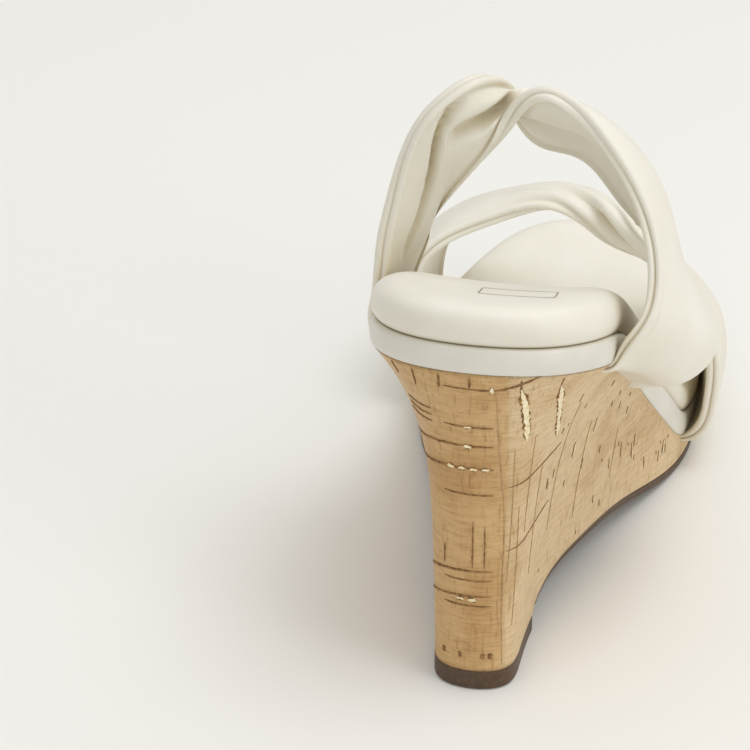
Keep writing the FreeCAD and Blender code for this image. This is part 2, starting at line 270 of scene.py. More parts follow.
# Cork: bark shaved to a thin sheet and waxed, tan, with fine growth lines, short upright fibres and small
# brown pores. The tan is painted darker over the back of the heel, paler along the outer side and a mid tone
# along the inner side: painted shade and painted light, following how the light falls.
cork, tree, skin = new_material("natural_cork_sheet")
place = node(tree, "ShaderNodeTexCoord")
spot = place.outputs["Object"]
run_across = node(tree, "ShaderNodeSeparateXYZ", None, {"Vector": place.outputs["UV"]}).outputs["X"]
share = node(tree, "ShaderNodeMath", {"operation": "DIVIDE"}, {0: run_across, 1: TOP_GIRTH}).outputs[0]
# painted light and shade: the tan changes with the run round the wedge, darker over the heel back and palest
# on the outer side
painted_side_light = node(tree, "ShaderNodeValToRGB", {}, {"Fac": share},
              [(0.0, "#D9B682"), (0.0165, "#DBBA88"), (0.019, "#E4CDA6"), (0.25, "#E4CDA6"), (0.5, "#DFC295"),
               (0.93, "#DABA88"), (1.0, "#D6B27E")]).outputs["Color"]
stretch = node(tree, "ShaderNodeMapping", None, {"Vector": spot, "Scale": (170, 170, 1300)})
lines = node(tree, "ShaderNodeTexNoise", None, {"Vector": stretch.outputs[0], "Scale": 1.0, "Detail": 6.0,
                                                "Roughness": 0.65})
upright = node(tree, "ShaderNodeMapping", None, {"Vector": spot, "Scale": (1100, 1100, 130)})
fibres = node(tree, "ShaderNodeTexNoise", None, {"Vector": upright.outputs[0], "Scale": 1.0, "Detail": 4.0})
cloud = node(tree, "ShaderNodeTexNoise", None,
             {"Vector": spot, "Scale": 42.0, "Detail": 5.0, "Roughness": 0.6})
dots = node(tree, "ShaderNodeTexVoronoi", None,
            {"Vector": stretch.outputs[0], "Scale": 1.3, "Randomness": 1.0})
line_tone = node(tree, "ShaderNodeValToRGB", {}, {"Fac": lines.outputs["Fac"]},
                 [(0.34, "#D9CAB2"), (0.5, "#F6F1E8"), (0.62, "#FFFFFF")]).outputs["Color"]
fibre_tone = node(tree, "ShaderNodeValToRGB", {}, {"Fac": fibres.outputs["Fac"]},
                  [(0.3, "#C6AF8E"), (0.42, "#FAF6F0"), (0.6, "#FFFFFF")]).outputs["Color"]
cloud_tone = node(tree, "ShaderNodeValToRGB", {}, {"Fac": cloud.outputs["Fac"]},
                  [(0.36, "#E2D2B8"), (0.5, "#FAF7F2"), (0.66, "#FFFFFF")]).outputs["Color"]
dot_tone = node(tree, "ShaderNodeValToRGB", {}, {"Fac": dots.outputs["Distance"]},
                [(0.09, "#8A6238"), (0.16, "#FFFFFF")]).outputs["Color"]
mixed = painted_side_light
for tone, much in ((line_tone, 0.62), (fibre_tone, 0.55), (cloud_tone, 0.7), (dot_tone, 0.5)):
    mixed = node(tree, "ShaderNodeMix", {"data_type": "RGBA", "blend_type": "MULTIPLY"},
                 {0: much, 6: mixed, 7: tone}).outputs[2]
tree.links.new(mixed, skin.inputs["Base Color"])
skin.inputs["Roughness"].default_value = 0.52
bump = node(tree, "ShaderNodeBump", None,
            {"Height": lines.outputs["Fac"], "Strength": 0.2, "Distance": 0.0003})
tree.links.new(bump.outputs[0], skin.inputs["Normal"])
dress(wedge, cork, "cork_cover", "wedge_core", slot="cork_sheet")

# Slits, pores and seams of the cork: bark cracks, dark brown, and a few filled with gold leaf.
# Each is a thin ragged sliver laid on the cork; a place is (run from the heel back, height), in mm.
def skin_scale(run, z):
    step = wedge_skin(run + 0.5, z, 0.0) - wedge_skin(run - 0.5, z, 0.0)
    return np.linalg.norm(step, axis=1)


def cork_sliver(name, path, wide, proud, chance):
    path = np.array(path, float)
    long = np.linalg.norm(np.diff(path, axis=0), axis=1).sum()
    steps = max(5, int(long / 0.7))
    line = smooth_through(path, np.linspace(0, 1, steps + 1))
    way = np.gradient(line, axis=0)
    way /= np.linalg.norm(way, axis=1)[:, None]
    ragged = np.array([[chance.uniform(0.45, 1.25) for _ in range(2)] for _ in range(steps + 1)])

    def place(u, v):
        i = np.rint(v * steps).astype(int)
        side = np.rint(u * 2).astype(int)
        taper = np.minimum(1, np.sin(np.clip(v, 0.03, 0.97) * math.pi) * 2.2)
        half = wide / 2 * taper * np.where(side == 0, ragged[i, 0], np.where(side == 2, ragged[i, 1], 0))
        off = half * (side - 1)
        run, z = line[i, 0], line[i, 1]
        run = run - way[i, 1] * off / np.maximum(skin_scale(run, z), 0.2)
        return wedge_skin(run, z + way[i, 0] * off, proud)

    return lay_sheet(name, 2, steps, place)


def join_all(pieces, name):
    bpy.ops.object.select_all(action="DESELECT")
    for piece in pieces:
        piece.select_set(True)
    bpy.context.view_layer.objects.active = pieces[0]
    bpy.ops.object.join()
    whole = bpy.context.object
    whole.name = name
    thick = whole.modifiers.new("sliver", "SOLIDIFY")
    thick.thickness = 0.00015
    thick.offset = -1
    bpy.ops.object.modifier_apply(modifier=thick.name)
    return whole


def roof_at(run):
    return float(seat_height(ring_at(top_ring, np.array([run]))[0, 1]))


# Level cracks cross the back of the heel and droop towards the inner side, from INNER over BACK to OUTER.
chance = random.Random(11)
INNER, BACK, OUTER = -28, -12, 5
SLITS = []
for high, droop, wide in ((77, 6, 0.7), (70, 6, 0.8), (38, 12, 0.7), (30, 12, 0.6)):
    SLITS.append(([(INNER, high - droop), (BACK, high - droop / 8), (OUTER, high)], wide))
for high in (80, 82, 84):
    SLITS.append(([(INNER + 3, high), (BACK, high + 2)], 0.5))
for high in (27, 35, 62, 83, 95):
    SLITS.append(([(-8, high), (OUTER, high)], 0.45))
# upright nicks just under the rand, hairlines halfway up and pits just over the heel lift
for run in (*range(-25, 0, 8), 12, 24):
    top = roof_at(run) - 1
    SLITS.append(([(run, top), (run, top - chance.uniform(3, 6))], chance.uniform(0.4, 0.9)))
for run in (-8, 0, 3):
    SLITS.append(([(run, chance.uniform(44, 56)), (run, 39)], 0.45))
for run in (-8, -3, 3, 5):
    SLITS.append(([(run, 12), (run, 10)], 1.2))
# long shallow arcs that run on round the outer corner
for high in (44, 64):
    SLITS.append(([(9, high), (22, high - 0.5), (40, high - 1)], 0.3))
SLITS.append(([(OUTER, 95), (10, 96), (17, 99)], 0.7))

# Gold: two long fills that slant down from the rand on the outer corner, a dot, and crumbs along the
# level cracks.
GOLD = [([(12, 95), (14, 86), (15, 77)], 1.8), ([(24, 93), (28, 82), (33, 69)], 1.8),
        ([(4, 95), (5, 95)], 1.7)]
for high, count in ((83, 1), (77, 1), (70, 4), (29, 2)):
    for k in range(count):
        start = -1 - 1.5 * count + 3 * k
        GOLD.append(([(start, high), (start + 2, high)], chance.uniform(0.7, 1.1)))
for _ in range(6):
    run = chance.choice([chance.uniform(50, 125), chance.uniform(-110, -34)])
    top = max(12, roof_at(run) * chance.uniform(0.4, 0.8))
    path = [(run, top), (run + chance.uniform(-2, 1), top - chance.uniform(4, 9))]
    GOLD.append((path, chance.uniform(0.4, 1.3)))
for _ in range(60):
    run = chance.choice([chance.uniform(34, 128), chance.uniform(-128, -34)])
    roof = roof_at(run)
    high = chance.uniform(14, max(18, roof - 4))
    long = chance.triangular(0.8, 6.0, 1.2)
    if high < roof - 2:
        path = [(run, high), (run + chance.uniform(-0.4, 0.4), high - long)]
        SLITS.append((path, chance.uniform(0.1, 0.3)))
# every gold fill lies in an open crack with a thin brown rim
for path, wide in GOLD:
    SLITS.append((path, wide + 0.55))

slits = [cork_sliver("slit", path, wide, 0.02, chance) for path, wide in SLITS]
cork_slits = join_all(slits, "cork_slits")
bark, tree, skin = new_material("dark_bark_pores")
spot = node(tree, "ShaderNodeTexCoord").outputs["Object"]
fine = node(tree, "ShaderNodeTexNoise", None, {"Vector": spot, "Scale": 900.0, "Detail": 3.0})
tree.links.new(node(tree, "ShaderNodeValToRGB", {}, {"Fac": fine.outputs["Fac"]},
                    [(0.35, "#6B4A29"), (0.6, "#A37C4C")]).outputs["Color"], skin.inputs["Base Color"])
skin.inputs["Roughness"].default_value = 0.8
dress(cork_slits, bark, slot="cork_sheet")

gold = [cork_sliver("gold", path, wide, 0.06, chance) for path, wide in GOLD]
gold_flecks = join_all(gold, "gold_leaf_flecks")
gold_leaf, tree, skin = new_material("gold_leaf")
spot = node(tree, "ShaderNodeTexCoord").outputs["Object"]
crumple = node(tree, "ShaderNodeTexNoise", None, {"Vector": spot, "Scale": 1100.0, "Detail": 4.0})
tree.links.new(node(tree, "ShaderNodeValToRGB", {}, {"Fac": crumple.outputs["Fac"]},
                    [(0.3, "#EAD193"), (0.62, "#FFF6DA")]).outputs["Color"], skin.inputs["Base Color"])
skin.inputs["Metallic"].default_value = 0.3
skin.inputs["Roughness"].default_value = 0.35
bump = node(tree, "ShaderNodeBump", None,
            {"Height": crumple.outputs["Fac"], "Strength": 0.6, "Distance": 0.0004})
tree.links.new(bump.outputs[0], skin.inputs["Normal"])
dress(gold_flecks, gold_leaf, slot="cork_sheet")

# Hair-fine lines in the cork: the upright butt joint between the back sheet and the side sheet, and faint
# growth lines that sweep up the sides. They are the tan of the sheet, only a shade darker.
FAINT = [([(5.6, 94.8), (6, 87), (7, 70), (8, 60), (8.2, 45), (8, 30), (8.5, 8)], 0.26)]
for start in (11, 13.5, 19, 27, 44, 63, 88, -40, -58, -84):
    roof = roof_at(start)
    crown = roof * chance.uniform(0.55, 0.9)
    base = max(crown * chance.uniform(0.3, 0.6), 12)
    if crown - base > 4:
        FAINT.append(([(start, crown), (start - 0.4, (crown + base) / 2), (start - 1.6, base)],
                      chance.uniform(0.1, 0.17)))
faint = [cork_sliver("faint", path, wide, 0.012, chance) for path, wide in FAINT]
faint_lines = join_all(faint, "faint_cork_lines")
soft_bark, tree, skin = new_material("soft_brown_growth_line")
spot = node(tree, "ShaderNodeTexCoord").outputs["Object"]
fine = node(tree, "ShaderNodeTexNoise", None, {"Vector": spot, "Scale": 420.0, "Detail": 3.0})
tree.links.new(node(tree, "ShaderNodeValToRGB", {}, {"Fac": fine.outputs["Fac"]},
                    [(0.4, "#A8855A"), (0.6, "#CDAE80")]).outputs["Color"], skin.inputs["Base Color"])
skin.inputs["Roughness"].default_value = 0.6
dress(faint_lines, soft_bark, slot="cork_sheet")

# Outsole: 3 mm smooth brown rubber, cut to the wedge and glued under the arch and the forefoot.
def half_widths(ring, y):
    # inner and outer edge of a closed plan line at each y
    tip = int(np.argmax(ring[:, 1]))
    outer = ring[:tip + 1]
    inner = ring[tip:][::-1]
    return np.interp(y, inner[:, 1], inner[:, 0]), np.interp(y, outer[:, 1], outer[:, 0])


TOE_TIP = foot_ring[:, 1].max()


def outsole_place(u, v):
    y = LIFT_FRONT + 0.15 + (TOE_TIP - LIFT_FRONT - 0.1) * np.sin(np.clip(v, 0, 1) * math.pi / 2)
    inner, outer = half_widths(foot_ring, y)
    middle, half = (inner + outer) / 2, (outer - inner) / 2 + 0.2
    angle = u * 2 * math.pi
    c, s = np.cos(angle), np.sin(angle)
    x = middle + np.sign(c) * np.abs(c) ** 0.08 * half
    rise = np.sign(s) * np.abs(s) ** 0.25 * SOLE_THICK / 2
    ends = np.clip(np.minimum(v, 1 - v) / 0.004, 0, 1) ** 0.5
    return np.column_stack([middle + (x - middle) * ends, y, sole_height(y) + SOLE_THICK / 2 + rise * ends])


outsole = sew(lay_sheet("outsole_rubber", 72, 200, outsole_place))
brown_rubber, tree, skin = new_material("brown_sole_rubber")
spot = node(tree, "ShaderNodeTexCoord").outputs["Object"]
grime = node(tree, "ShaderNodeTexNoise", None, {"Vector": spot, "Scale": 900.0, "Detail": 3.0})
tree.links.new(node(tree, "ShaderNodeValToRGB", {}, {"Fac": grime.outputs["Fac"]},
                    [(0.3, "#4C3827"), (0.7, "#5F4834")]).outputs["Color"], skin.inputs["Base Color"])
skin.inputs["Roughness"].default_value = 0.5
bump = node(tree, "ShaderNodeBump", None,
            {"Height": grime.outputs["Fac"], "Strength": 0.15, "Distance": 0.0002})
tree.links.new(bump.outputs[0], skin.inputs["Normal"])
dress(outsole, brown_rubber, "outsole", slot="sole_rubber")

# Heel top lift: a 6 mm block of harder brown rubber, ground flush with the wedge.
def lift_place(u, v):
    heel = smooth_through(WEDGE_FOOT, np.linspace(0, 1, 721), True)
    back = heel[heel[:, 1] < LIFT_FRONT - 0.4]
    order = np.argsort(np.arctan2(back[:, 0], -(back[:, 1] - LIFT_FRONT)))
    back = back[order]
    run = np.concatenate([[0], np.cumsum(np.linalg.norm(np.diff(back, axis=0), axis=1))])
    back_share = 0.74
    along = np.clip(u / back_share, 0, 1) * run[-1]
    x = np.interp(along, run, back[:, 0])
    y = np.interp(along, run, back[:, 1])
    front = np.clip((u - back_share) / (1 - back_share), 0, 1)
    x = np.where(front > 0, back[-1, 0] + (back[0, 0] - back[-1, 0]) * front, x)
    y = np.where(front > 0, LIFT_FRONT - 0.2, y)
    centre = np.array([0.0, 22.0])
    stops = np.array([0, 0.2, 0.26, 0.32, 0.68, 0.74, 0.8, 1.0])
    inset = np.interp(v, stops, [1, 0.06, 0.012, -0.018, -0.018, -0.012, -0.012, 1])
    z = np.interp(v, stops, [0, 0, 0.15, 0.7, 5.2, 5.97, 5.98, 5.98])
    return np.column_stack([x + (centre[0] - x) * inset, y + (centre[1] - y) * inset, z])


lift = sew(lay_sheet("heel_lift", 120, 50, lift_place))
dress(lift, brown_rubber, "heel_top_lift", slot="lift_rubber")

# Rand: the edge of the footbed, wrapped in smooth white leather that is turned in below and above.
outline_ring = smooth_through(RAND_OUTLINE, around, True)
outline_run = np.concatenate([[0], np.cumsum(np.linalg.norm(np.diff(outline_ring, axis=0), axis=1))])
GIRTH = outline_run[-1]
outline_way = np.gradient(outline_ring, axis=0)
outline_way[0] = outline_way[-1] = outline_ring[1] - outline_ring[-2]
outline_way /= np.linalg.norm(outline_way, axis=1)[:, None]
outline_in = np.column_stack([-outline_way[:, 1], outline_way[:, 0]])


def bed_edge(run, inset, lift):
    # point inset from the edge of the footbed and lift over its underside
    run = np.mod(run, GIRTH)
    x = (np.interp(run, outline_run, outline_ring[:, 0])
         + np.interp(run, outline_run, outline_in[:, 0]) * inset)
    y = (np.interp(run, outline_run, outline_ring[:, 1])
         + np.interp(run, outline_run, outline_in[:, 1]) * inset)
    slope = seat_slope(y)
    return np.column_stack([x, y, seat_height(y) + lift * np.sqrt(1 + slope ** 2)])


RAND_SHAPE = [(9, 0.35), (4, 0.1), (1.4, 0.0), (0.5, 0.25), (0.0, 1.3), (-0.25, 3.6), (-0.05, 5.6),
              (0.35, 6.8), (1.1, 7.35), (2.2, 7.45), (4, 7.35), (9, 7.2), (10, 3.8), (9, 0.35)]


def rand_place(u, v):
    shape = smooth_through(RAND_SHAPE, v)
    return bed_edge(u * GIRTH, shape[:, 0], shape[:, 1])


rand = sew(lay_sheet("rand", 360, 60, rand_place))
scale_uv(rand, GIRTH, 30)
white_nappa, tree, skin = new_material("white_nappa_leather")
spot = node(tree, "ShaderNodeTexCoord").outputs["Object"]
pebble = node(tree, "ShaderNodeTexVoronoi", None, {"Vector": spot, "Scale": 1500.0})
soft = node(tree, "ShaderNodeTexNoise", None, {"Vector": spot, "Scale": 60.0, "Detail": 3.0})
# painted shade: ambient occlusion darkens the white leather towards warm grey in corners, grooves and the gap
# under the sock
painted_crease_shade = node(tree, "ShaderNodeAmbientOcclusion", {"samples": 8}, {"Distance": 0.008}).outputs["AO"]
# painted shade: the white leather's tone is set a little grey, standing for the shade on the rand's upright
# face
tone = node(tree, "ShaderNodeValToRGB", {}, {"Fac": soft.outputs["Fac"]},
            [(0.3, "#E0DDD3"), (0.7, "#E8E6DE")]).outputs["Color"]
shade = node(tree, "ShaderNodeValToRGB", {}, {"Fac": painted_crease_shade},
             [(0.15, "#8F8468"), (0.55, "#E6E1D2"), (0.9, "#FFFFFF")]).outputs["Color"]
tree.links.new(node(tree, "ShaderNodeMix", {"data_type": "RGBA", "blend_type": "MULTIPLY"},
                    {0: 0.7, 6: tone, 7: shade}).outputs[2], skin.inputs["Base Color"])
skin.inputs["Roughness"].default_value = 0.42
bump = node(tree, "ShaderNodeBump", None,
            {"Height": pebble.outputs["Distance"], "Strength": 0.08, "Distance": 0.0002})
tree.links.new(bump.outputs[0], skin.inputs["Normal"])
dress(rand, white_nappa, "footbed_wrap", slot="white_leather")

# Sock: a thick soft foam pad in cream leather, its edge rounded over and glued down just inside the rand.
SOCK_SHAPE = [(3.2, 7.3), (1.9, 7.35), (1.2, 7.9), (0.45, 9.2), (0.1, 11.2), (0.5, 13.5), (1.6, 15.5),
              (3.4, 16.9), (6.0, 17.7), (9.5, 17.9)]
SOCK_FOOT, SOCK_TOP = 7.3, 17.9


def sock_place(u, v):
    side = np.clip((v - 0.2) / 0.4, 0, 1)
    shape = smooth_through(SOCK_SHAPE, side)
    edge = bed_edge(u * GIRTH, shape[:, 0], shape[:, 1])
    inward = np.where(v < 0.2, (0.2 - v) / 0.2, np.clip((v - 0.6) / 0.4, 0, 1))
    spot = towards_spine(edge, inward)
    slope = seat_slope(spot[:, 1])
    lift = np.where(v < 0.2, SOCK_FOOT, SOCK_TOP - 0.9 * np.sin(inward * math.pi / 2) * (v > 0.6))
    z = seat_height(spot[:, 1]) + lift * np.sqrt(1 + slope ** 2)
    return np.column_stack([spot, np.where(inward > 0, z, edge[:, 2])])


sock = sew(lay_sheet("padded_sock", 360, 110, sock_place))
cream_nappa, tree, skin = new_material("cream_nappa_leather")
spot = node(tree, "ShaderNodeTexCoord").outputs["Object"]
pebble = node(tree, "ShaderNodeTexVoronoi", None, {"Vector": spot, "Scale": 1400.0})
soft = node(tree, "ShaderNodeTexNoise", None, {"Vector": spot, "Scale": 45.0, "Detail": 4.0})
# painted shade: ambient occlusion darkens the cream leather towards warm tan in corners, folds and creases of
# the sock and straps
painted_crease_shade = node(tree, "ShaderNodeAmbientOcclusion", {"samples": 8}, {"Distance": 0.016}).outputs["AO"]
tone = node(tree, "ShaderNodeValToRGB", {}, {"Fac": soft.outputs["Fac"]},
            [(0.3, "#ECE8DB"), (0.7, "#F3F0E6")]).outputs["Color"]
shade = node(tree, "ShaderNodeValToRGB", {}, {"Fac": painted_crease_shade},
             [(0.12, "#AD9A72"), (0.42, "#E6DDC6"), (0.8, "#FFFFFF")]).outputs["Color"]
tree.links.new(node(tree, "ShaderNodeMix", {"data_type": "RGBA", "blend_type": "MULTIPLY"},
                    {0: 0.75, 6: tone, 7: shade}).outputs[2], skin.inputs["Base Color"])
skin.inputs["Roughness"].default_value = 0.48
skin.inputs["Subsurface Weight"].default_value = 0.08
skin.inputs["Subsurface Radius"].default_value = (0.004, 0.003, 0.002)
bump = node(tree, "ShaderNodeBump", None,
            {"Height": pebble.outputs["Distance"], "Strength": 0.1, "Distance": 0.0002})
tree.links.new(bump.outputs[0], skin.inputs["Normal"])
dress(sock, cream_nappa, "sock_lining", "sock_foam", slot="cream_leather")

# Blank stamp on the heel of the sock: an empty frame pressed into the leather in dark foil.
STAMP = (7.5, 24.0, 9.5, 4.4)


def stamp_place(u, v):
    middle_x, middle_y, half_wide, half_long = STAMP
    angle = v * 2 * math.pi
    c, s = np.cos(angle), np.sin(angle)
    inset = (u - 0.5) * 0.35
    x = middle_x + np.sign(c) * np.abs(c) ** 0.12 * (half_wide - inset)
    y = middle_y + np.sign(s) * np.abs(s) ** 0.12 * (half_long - inset)
    return np.column_stack([x, y, seat_height(y) + SOCK_TOP * np.sqrt(1 + seat_slope(y) ** 2)])


stamp = lay_sheet("stamp_frame", 2, 160, stamp_place)
cling = stamp.modifiers.new("pressed", "SHRINKWRAP")
cling.target = sock
cling.offset = 0.00008
cling.wrap_method = "PROJECT"
cling.use_project_z = True
cling.use_negative_direction = True
cling.use_positive_direction = True
bpy.context.view_layer.objects.active = stamp
bpy.ops.object.modifier_apply(modifier=cling.name)
foil, tree, skin = new_material("dark_stamping_foil")
spot = node(tree, "ShaderNodeTexCoord").outputs["Object"]
worn = node(tree, "ShaderNodeTexNoise", None, {"Vector": spot, "Scale": 700.0, "Detail": 3.0})
tree.links.new(node(tree, "ShaderNodeValToRGB", {}, {"Fac": worn.outputs["Fac"]},
                    [(0.4, "#5F5C56"), (0.62, "#A9A497")]).outputs["Color"], skin.inputs["Base Color"])
skin.inputs["Roughness"].default_value = 0.4
dress(stamp, foil, slot="cream_leather")


# Straps: two wide padded straps of cream nappa, self-lined, each turned over once on its way across.
# Three lines give each strap its course from the inner to the outer side: edge A, the middle, edge B.
# Both edges are seams with a soft roll on each side, and both ends are turned in under the rand.
REAR_A = [(-26, 46.5, 79), (-30.8, 46.5, 79.2), (-32.8, 46.6, 83), (-32, 46.8, 93), (-31, 47.5, 106),
          (-28.9, 49, 120), (-25, 51, 136), (-17.8, 53.5, 146.8), (-8.6, 60, 151.6), (-4, 68.5, 146.2),
          (-0.5, 74.5, 134), (4.6, 78, 126), (12, 79.5, 123.5), (19, 80, 119.6), (27, 82, 108.5),
          (37, 85.5, 96), (45.5, 88, 81), (50.5, 89, 66.5), (45.5, 85, 58), (38.3, 77.5, 56.5),
          (34, 74, 57.3), (28, 73, 58.3)]
REAR_C = [(-25, 67, 63.5), (-29.8, 67, 63.6), (-32.2, 67, 67.5), (-33.5, 67.5, 79), (-32, 66.5, 93),
          (-26.8, 65.5, 106.5), (-21, 62, 122), (-16.2, 60, 134), (-8.4, 61.5, 139.7), (-3, 64, 142.3),
          (2.6, 66.5, 141.5), (9, 66.5, 139), (18, 65, 138), (27, 64, 133), (36, 64, 120),
          (41, 63.5, 104), (46.5, 62.5, 90), (51, 60.5, 79.5), (46, 56.5, 73.5), (39, 53, 73.5),
          (34.4, 50.5, 75.8), (28, 50, 76.6)]
REAR_B = [(-26, 88.3, 44), (-30.6, 88.5, 43.6), (-33, 88.8, 47.5), (-33.6, 88.5, 60), (-31.8, 87, 73),
          (-27.6, 82.5, 88), (-22.9, 75, 101.7), (-15.4, 68, 114.9), (-8, 63, 126), (-2.6, 60.5, 135),
          (1.5, 59, 144.5), (8.1, 57.5, 149.7), (16.5, 55.3, 146.5), (25.5, 51.8, 137.8), (33.9, 46.5, 127.4),
          (39, 40, 116.5), (39.9, 35, 107.5), (38.5, 31.5, 102), (36, 29.5, 98), (33.4, 28.2, 93.8),
          (31, 27.2, 89.9), (26, 27, 89.6)]
FRONT_A = [(-32, 143.5, 8.4), (-37.6, 143.5, 8.2), (-40.6, 143.3, 12), (-41.8, 143, 26), (-39, 143.5, 47),
           (-31, 147, 56.5), (-18, 152, 61.5), (-5, 155, 65), (6, 157, 62.5), (15, 161, 54.5), (28, 168, 46),
           (41, 172, 34), (46.5, 171.5, 20), (44, 170.5, 11), (41, 170, 8.2), (36, 170, 8.6)]
FRONT_C = [(-31, 162.5, 8.2), (-36.4, 162.5, 8), (-39.8, 162.8, 12), (-42.5, 163.5, 27), (-38.5, 165, 46),
           (-27, 165.5, 56.5), (-12.5, 164, 63), (1.5, 160.5, 67.5), (13.5, 156, 66), (24.5, 153, 60),
           (37.5, 150, 51.5), (48.5, 148.5, 38), (50.5, 147.5, 23), (47.6, 147, 12),
           (44, 147, 7.9), (38, 147, 8)]
FRONT_B = [(-29, 181, 9.4), (-33.6, 181.5, 9.2), (-36.8, 182, 13), (-38.5, 184, 26), (-34, 184.5, 41),
           (-21, 181, 52), (-6, 174.5, 60), (9, 165.5, 66.5), (22, 153, 66.5), (34, 141, 61.5), (44, 131, 51),
           (51, 125, 38), (51.2, 123, 24), (48.4, 123, 14), (44.4, 123.5, 10.8), (38, 124, 11)]
STATIONS = 401
LANES = 61


def strap_course(edge_a, centre, edge_b, facing):
    # middle surface of a strap as a grid of points (along, across), its normals and the run of its stations
    rows = [np.array(line, float) for line in (edge_a, centre, edge_b)]
    gaps = sum(np.linalg.norm(np.diff(row, axis=0), axis=1) for row in rows) / 3
    marks = np.concatenate([[0], np.cumsum(gaps)]) / gaps.sum()
    a, c, b = [smooth_through(row, np.linspace(0, 1, STATIONS), gaps=gaps)[:, None, :] for row in rows]
    q = np.linspace(0, 1, LANES)[None, :, None]
    sheet = (1 - q) * (1 - 2 * q) * a + 4 * q * (1 - q) * c + q * (2 * q - 1) * b
    out = np.cross(np.gradient(sheet, axis=0), np.gradient(sheet, axis=1))
    out /= np.linalg.norm(out, axis=2)[:, :, None]
    at, way = facing
    row = int(np.interp(at, range(len(marks)), marks) * (STATIONS - 1))
    if out[row, LANES // 2] @ np.array(way, float) < 0:
        out = -out
    return sheet, out, marks


# Half of a padded edge in section: (distance in from the seam, height over the middle surface)
EDGE_ROLL = [(0.8, 0.0), (0.25, 0.35), (0.0, 0.9), (0.2, 1.55), (0.9, 2.05), (1.8, 1.95),
             (2.5, 1.5), (3.3, 1.55)]
ROLL_SHARE, ROLL_WIDE = 0.22, 3.3


def strap_place(course, body, folds):
    sheet, out, marks = course
    wide = np.linalg.norm(np.diff(sheet, axis=1), axis=2).sum(axis=1)

    def place(u, v):
        i = v * (STATIONS - 1)
        station = np.interp(v, marks, range(len(marks)))
        face = np.where(u < 0.5, 1.0, -1.0)
        side = np.where(u < 0.5, u * 2, 2 - u * 2)
        width = np.interp(i, range(STATIONS), wide)
        deep = np.interp(station, body[0], body[1]) / 2
        near = np.minimum(side, 1 - side)
        roll = smooth_through(EDGE_ROLL, np.clip(near / ROLL_SHARE, 0, 1))
        shrink = np.minimum(1, deep / 2.2)
        inside = np.clip((near - ROLL_SHARE) / 0.28, 0, 1)
        gap = np.where(near < ROLL_SHARE, roll[:, 0],
                       ROLL_WIDE + (width / 2 - ROLL_WIDE) * np.sin(inside * math.pi / 2))
        swell = np.sin(np.clip((gap - 2.7) / (width / 2 - 2.7), 0, 1) * math.pi / 2) ** 0.75
        plump = np.where(near < ROLL_SHARE, 0, 1) * swell * np.maximum(deep - 1.55 * shrink, 0)
        high = roll[:, 1] * shrink + plump
        q = np.where(side < 0.5, gap / width, 1 - gap / width)
        for fold_face, places, lane, depth, spread in folds:
            here = np.interp(station, places, lane)
            much = np.interp(station, places, depth)
            dent = np.exp(-(((q - here) * width) / spread) ** 2)
            high = high - np.where(face == fold_face, much, 0) * dent * np.clip((gap - 2.5) / 2, 0, 1)
        low = np.clip(q * (LANES - 1), 0, LANES - 1)
        i0 = np.clip(np.floor(i).astype(int), 0, STATIONS - 2)
        j0 = np.clip(np.floor(low).astype(int), 0, LANES - 2)
        fi, fj = (i - i0)[:, None], (low - j0)[:, None]

        def blend(grid):
            first = grid[i0, j0] * (1 - fj) + grid[i0, j0 + 1] * fj
            second = grid[i0 + 1, j0] * (1 - fj) + grid[i0 + 1, j0 + 1] * fj
            return first * (1 - fi) + second * fi

        return blend(sheet) + blend(out) * (face * high)[:, None]

    return place


rear_course = strap_course(REAR_A, REAR_C, REAR_B, (3, (1, 0, 0)))
rear_body = ([0, 1.5, 3, 6, 8, 9.5, 11, 12, 16, 18, 19.5, 21],
             [2, 2.6, 5.5, 7.5, 9.5, 10.5, 8, 7, 7, 5, 2.8, 2])
rear_folds = [(1, [4, 5, 6, 7, 7.6], [0.45, 0.42, 0.33, 0.2, 0.1], [0, 2.6, 4.8, 4.6, 1.2], 2.2),
              (1, [6.7, 7.2, 8, 9, 9.8, 10.6], [0.4, 0.42, 0.48, 0.52, 0.62, 0.75],
               [0, 3.6, 5.6, 5.6, 3.4, 0], 2.4),
              (-1, [5, 7, 9, 11, 13], [0.5, 0.5, 0.5, 0.45, 0.4], [0, 2.4, 4.2, 3.0, 0], 3.0)]
rear_strap = lay_sheet("rear_strap", 120, 400, strap_place(rear_course, rear_body, rear_folds))
front_course = strap_course(FRONT_A, FRONT_C, FRONT_B, (5, (0, 0, 1)))
front_body = ([0, 1.5, 3, 5, 8, 11, 12.5, 14, 15], [2, 2.6, 5.5, 7, 8.5, 7, 5, 2.8, 2])
front_folds = [(1, [5.5, 7, 8.2, 9.4, 11], [0.5, 0.5, 0.48, 0.46, 0.45], [0, 2.2, 4.6, 3.4, 0], 2.4),
               (-1, [5.5, 7, 8.2, 9.4, 11], [0.5, 0.5, 0.5, 0.5, 0.5], [0, 2.2, 4.2, 2.6, 0], 2.8)]
front_strap = lay_sheet("front_strap", 120, 400, strap_place(front_course, front_body, front_folds))
for strap in (rear_strap, front_strap):
    sew(strap)
    name = strap.name
    dress(strap, cream_nappa, name + "_outer", name + "_lining", name + "_padding", name + "_tape",
          name + "_cord_a", name + "_cord_b", slot="strap_leather")

